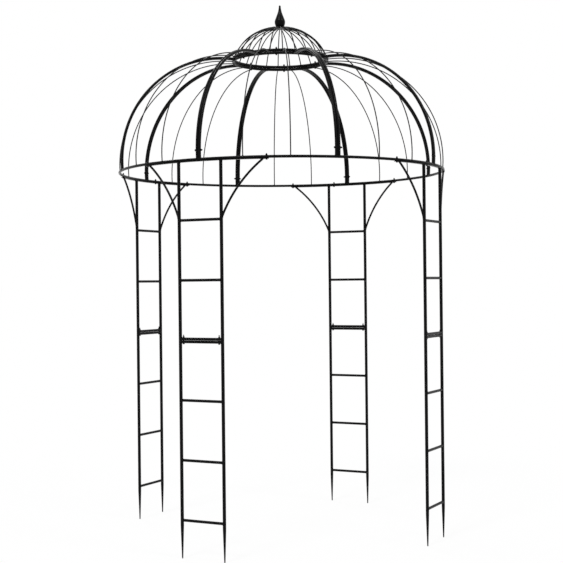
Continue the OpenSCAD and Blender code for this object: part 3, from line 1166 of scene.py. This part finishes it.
@dataclass
class Cupola:
    """The cupola: its ring, the rods up to the hub, the hub and the drop-shaped finial."""

    bow: float = 0.057
    rod_bead: float = 0.0012
    hub_bead: float = 0.0022
    rod_reach: float = 0.8
    hub_ease: float = 0.001
    finial_tip_r: float = 0.006
    belly: float = 0.26
    foot_pinch: float = 0.62
    fullness: float = 0.72
    finial_steps: int = 56
    tip_steps: int = 8
    tip_flat: float = 0.08

    def build(self, shop: Workshop) -> None:
        """Makes every piece of the cupola."""
        s = shop.sizes
        sizes = s.top_ring.sizes() | {"Height": s.cupola_z}
        shop.fit(ClosedRing, "cupola_ring_tube", Slot.DOME, sizes, "cupola_ring")
        hub_low, hub_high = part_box("cupola_hub")
        hub_r, hub_z = hub_high.x, (hub_low.z + hub_high.z) / 2
        arc = Arc(Vector((s.top_ring.r, 0, s.cupola_z)), Vector((0, 0, hub_z)), self.bow)
        inner = self.end_in_hub(arc, hub_r)
        per_quarter = s.cupola_rods // len(QUARTERS)
        step = 360 / s.cupola_rods
        path = {"Foot Out": arc.foot.x, "Foot Up": arc.foot.z, "Bow": inner.bow}
        path |= {"Head Out": inner.head.x, "Head Up": inner.head.z, "Radius": s.cupola_rod_r}
        path |= {"Sides": 12, "Steps": 40, "Copies": per_quarter, "Turn": step}
        seams = Seams()
        for quarter, name in enumerate(QUARTERS):
            node = f"cupola_rods_{name}"
            first = 90 * quarter - 45 + step
            shop.fit(ArchedRods, f"{node}_wires", Slot.WIRE, path | {"First Angle": first}, node)
            for k in range(per_quarter):
                turn = first + k * step
                way = arc.way(arc.foot)
                seams.add_coped(arc.foot, way, s.cupola_rod_r, SIDEWAYS, s.top_ring.tube_r, turn)
        shop.weld("cupola_rod_welds", seams, Slot.WIRE, self.rod_bead)
        self.make_hub(shop, hub_r, hub_low.z, hub_high.z)
        self.make_finial(shop)

    def end_in_hub(self, arc: Arc, hub_r: float) -> Arc:
        """The part of the arc from its foot to a little way inside the hub's wall."""
        inside = hub_r * self.rod_reach
        height = arc.centre.z + math.sqrt(arc.radius**2 - (inside - arc.centre.x) ** 2)
        head = Vector((inside, 0, height))
        half_chord = (head - arc.foot).length / 2
        return Arc(arc.foot, head, arc.radius - math.sqrt(arc.radius**2 - half_chord**2))

    def make_hub(self, shop: Workshop, radius: float, low: float, high: float) -> None:
        """Makes the hub with eased edges, and the bead that runs round it over the rods."""
        ease = self.hub_ease
        outline = [(low, radius - ease), (low + ease, radius)]
        outline += [(high - ease, radius), (high, radius - ease)]
        guide = self.guide(outline)
        shop.fit(Turned, "cupola_hub_disc", Slot.CASTING, {}, "cupola_hub", guide=guide)
        seams = Seams()
        for height in (low + 2 * ease, high - 2 * ease):
            seams.add_flat(Vector((0, 0, height)), UP, radius, 0.0)
        shop.weld("cupola_hub_welds", seams, Slot.CASTING, self.hub_bead)

    def make_finial(self, shop: Workshop) -> None:
        """Makes the finial: a full drop on a narrower foot, drawn out to a rounded point."""
        low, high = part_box("finial")
        widest = high.x
        height = high.z - low.z
        neck = 1 - self.finial_tip_r / height
        shares = [neck * k / self.finial_steps for k in range(self.finial_steps + 1)]
        outline = [(low.z + height * t, self.finial_radius(t, widest)) for t in shares]
        last_z, last_r = outline[-1]
        for k in range(1, self.tip_steps):
            turn = math.pi / 2 * k / self.tip_steps
            outline.append((last_z + self.finial_tip_r * math.sin(turn), last_r * math.cos(turn)))
        outline.append((high.z, last_r * self.tip_flat))
        guide = self.guide(outline)
        shop.fit(Turned, "finial_drop", Slot.CASTING, {}, "finial", guide=guide)
        seams = Seams()
        seams.add_flat(Vector((0, 0, low.z)), UP, self.finial_radius(0.0, widest), 0.0)
        shop.weld("finial_weld", seams, Slot.CASTING, self.hub_bead)

    def finial_radius(self, t: float, widest: float) -> float:
        """The drop's radius at a share t of its height."""
        if t < self.belly:
            return widest * math.sqrt(1 - self.foot_pinch * (1 - t / self.belly) ** 2)
        past = ((t - self.belly) / (1 - self.belly)) ** self.fullness
        return self.finial_tip_r + (widest - self.finial_tip_r) / 2 * (1 + math.cos(math.pi * past))

    def guide(self, outline: list[tuple[float, float]]) -> Mesh:
        """A line up the axis whose points carry the radius at each height."""
        mesh = bpy.data.meshes.new("outline")
        edges = [(k, k + 1) for k in range(len(outline) - 1)]
        mesh.from_pydata([(0, 0, z) for z, _ in outline], edges, [])
        layer = mesh.attributes.new("girth", "FLOAT", "POINT")
        layer.data.foreach_set("value", [r for _, r in outline])
        return mesh


@dataclass
class Fasteners:
    """All bolts, with their washers and nuts."""

    coupling_bolt_y: float = 0.114
    rib_bolt_up: float = 0.05
    extra_angle: float = 5.6
    long_end: float = 0.015
    short_end: float = 0.01
    spin: float = 37.0

    def build(self, shop: Workshop, ladders: list[Ladder], dome: Dome) -> None:
        """Makes the four sets of bolts."""
        s = shop.sizes
        couplings = BoltSet(4 * s.rung_r + s.joint_gap, self.long_end)
        for ladder in ladders:
            for side in (-1, 1):
                foot = ladder.coupling_z - couplings.grip / 2
                seat = Vector((s.upright_out, side * self.coupling_bolt_y, foot))
                couplings.add(seat, UP, ladder.angle, self.spin * len(couplings.points))
        couplings.fit(shop, "coupling_bolts")
        middles = [(k + 0.5) * s.bay for k in range(s.bays)]
        extra = [x.angle + x.extra_bolt * self.extra_angle for x in ladders if x.extra_bolt]
        ring = BoltSet(s.bar_t + 2 * s.ring.tube_r, self.short_end)
        for k, angle in enumerate(middles + extra):
            ring.add(Vector((s.ring.r, 0, s.bar_z)), UP, angle, self.spin * k)
        ring.fit(shop, "ring_bolts")
        ribs = BoltSet(4 * s.rib_r + s.rib_gap, self.short_end)
        height = s.ring.z + self.rib_bolt_up
        for k in range(s.bays):
            seat = Vector((dome.arc(s).out_at(height), -ribs.grip / 2, height))
            ribs.add(seat, SIDEWAYS, k * s.bay, self.spin * k)
        ribs.fit(shop, "rib_bolts")
        rings = BoltSet(s.cupola_z - s.top_ring.z + 2 * s.top_ring.tube_r, self.short_end)
        seat = Vector((s.top_ring.r, 0, s.top_ring.z - s.top_ring.tube_r))
        for k, angle in enumerate(middles):
            rings.add(seat, UP, angle, self.spin * k)
        rings.fit(shop, "top_ring_bolts")


# ---- studio ----


@dataclass(frozen=True)
class Studio:
    """A pale floor, soft light and the camera.

    Attributes:
        floor_size: Width of the floor.
        floor_white: How far the floor is lit up towards white where it is seen.
        ambient: Strength of the light from all round.
        softness: The angle that each lamp fills, as seen from the object.
        sensor: Width of the camera's sensor in millimetres.
        far: How far the camera sees.
        lens: Focal length in millimetres.
    """

    WHITE = (1.0, 1.0, 1.0, 1.0)
    # Each lamp's name, its place round the object, its height over the floor and its strength.
    LAMPS = (("key", 222.0, 48.0, 1.4), ("fill", -55.0, 40.0, 0.7), ("back", 100.0, 45.0, 0.6))

    floor_size: float = 2400.0
    floor_grey: float = 0.9
    floor_white: float = 0.88
    ambient: float = 0.5
    softness: float = 14.0
    lamp_distance: float = 9.0
    sensor: float = 36.0
    far: float = 500.0
    lens: float = 77.84
    distance: float = 7.589
    eye_height: float = 1.52
    plan_angle: float = -107.9
    yaw: float = -0.053
    pitch: float = 0.11
    roll: float = -0.6

    def build(self) -> None:
        """Sets up everything round the object."""
        bpy.context.scene.view_settings.view_transform = "Standard"
        self.make_floor()
        self.make_world()
        for lamp in self.LAMPS:
            self.make_lamp(*lamp)
        self.make_camera()

    def seen(self, graph: Graph) -> Field:
        """1 for what the camera sees straight, in gloss or through glass, and 0 for other light."""
        path = graph.add("ShaderNodeLightPath")
        mask = path["Is Camera Ray"].at_least(path["Is Glossy Ray"])
        return mask.at_least(path["Is Transmission Ray"])

    def make_floor(self) -> None:
        """Makes a floor that shows white but keeps the object's shadow."""
        half = self.floor_size / 2
        mesh = bpy.data.meshes.new("floor")
        corners = [(x * half, y * half, 0) for x, y in ((-1, -1), (1, -1), (1, 1), (-1, 1))]
        mesh.from_pydata(corners, [], [(0, 1, 2, 3)])
        floor = put("floor", mesh)
        made = bpy.data.materials.new("floor")
        graph = blank(made)
        grey = (self.floor_grey,) * 3 + (1.0,)
        matt = graph.add("ShaderNodeBsdfDiffuse", {"Color": grey})[0]
        white = graph.add("ShaderNodeEmission", {"Color": self.WHITE, "Strength": 1.0})[0]
        share = self.seen(graph) * self.floor_white
        shader = graph.add("ShaderNodeMixShader", {0: share, 1: matt, 2: white})[0]
        graph.add("ShaderNodeOutputMaterial", {"Surface": shader})
        mesh.materials.append(made)

    def make_world(self) -> None:
        """Makes even light from all round, whose own colour shows white."""
        world = bpy.data.worlds.new("studio")
        graph = blank(world)
        strength = self.ambient + (1.0 - self.ambient) * self.seen(graph)
        sockets = {"Color": self.WHITE, "Strength": strength}
        light = graph.add("ShaderNodeBackground", sockets)[0]
        graph.add("ShaderNodeOutputWorld", {"Surface": light})
        bpy.context.scene.world = world

    def make_lamp(self, name: str, plan_angle: float, height_angle: float, strength: float) -> None:
        """Makes one soft light.

        Args:
            name: Its name.
            plan_angle: Where it stands round the object.
            height_angle: How high it stands over the floor.
            strength: Its strength.
        """
        lamp = bpy.data.lights.new(name, "SUN")
        lamp.angle = math.radians(self.softness)
        lamp.energy = strength
        holder = put(name, lamp)
        rise = math.radians(height_angle)
        place = turned_about_z(Vector((math.cos(rise), 0, math.sin(rise))), plan_angle)
        holder.rotation_euler = (-place).to_track_quat("-Z", "Y").to_euler()
        holder.location = self.lamp_distance * place

    def make_camera(self) -> None:
        """Makes the camera, at eye height and a little left of the front way in."""
        data = bpy.data.cameras.new("camera")
        data.sensor_width = self.sensor
        data.lens = self.lens
        data.clip_end = self.far
        camera = put("camera", data)
        place = turned_about_z(Vector((self.distance, 0, 0)), self.plan_angle) + UP * self.eye_height
        heading = math.radians(self.plan_angle + 180 - self.yaw)
        pitch, roll = math.radians(self.pitch), math.radians(self.roll)
        level = Vector((math.cos(heading), math.sin(heading), 0))
        forward = level * math.cos(pitch) + UP * math.sin(pitch)
        right = level.cross(UP)
        up = right.cross(forward)
        tilted_right = math.cos(roll) * right + math.sin(roll) * up
        tilted_up = math.cos(roll) * up - math.sin(roll) * right
        turn = Matrix((tilted_right, tilted_up, -forward)).transposed()
        camera.matrix_world = Matrix.Translation(place) @ turn.to_4x4()
        bpy.context.scene.camera = camera


def main() -> None:
    """Builds the pavilion's sub-assemblies in order, then the studio."""
    logging.basicConfig(level=logging.INFO, format="%(name)s: %(message)s")
    shop = Workshop()
    ladders = [Ladder(*place) for place in LADDERS]
    for ladder in ladders:
        ladder.build(shop)
    dome = Dome()
    dome.build(shop)
    Cupola().build(shop)
    Fasteners().build(shop, ladders, dome)
    Studio().build()


if __name__ == "__main__":
    main()
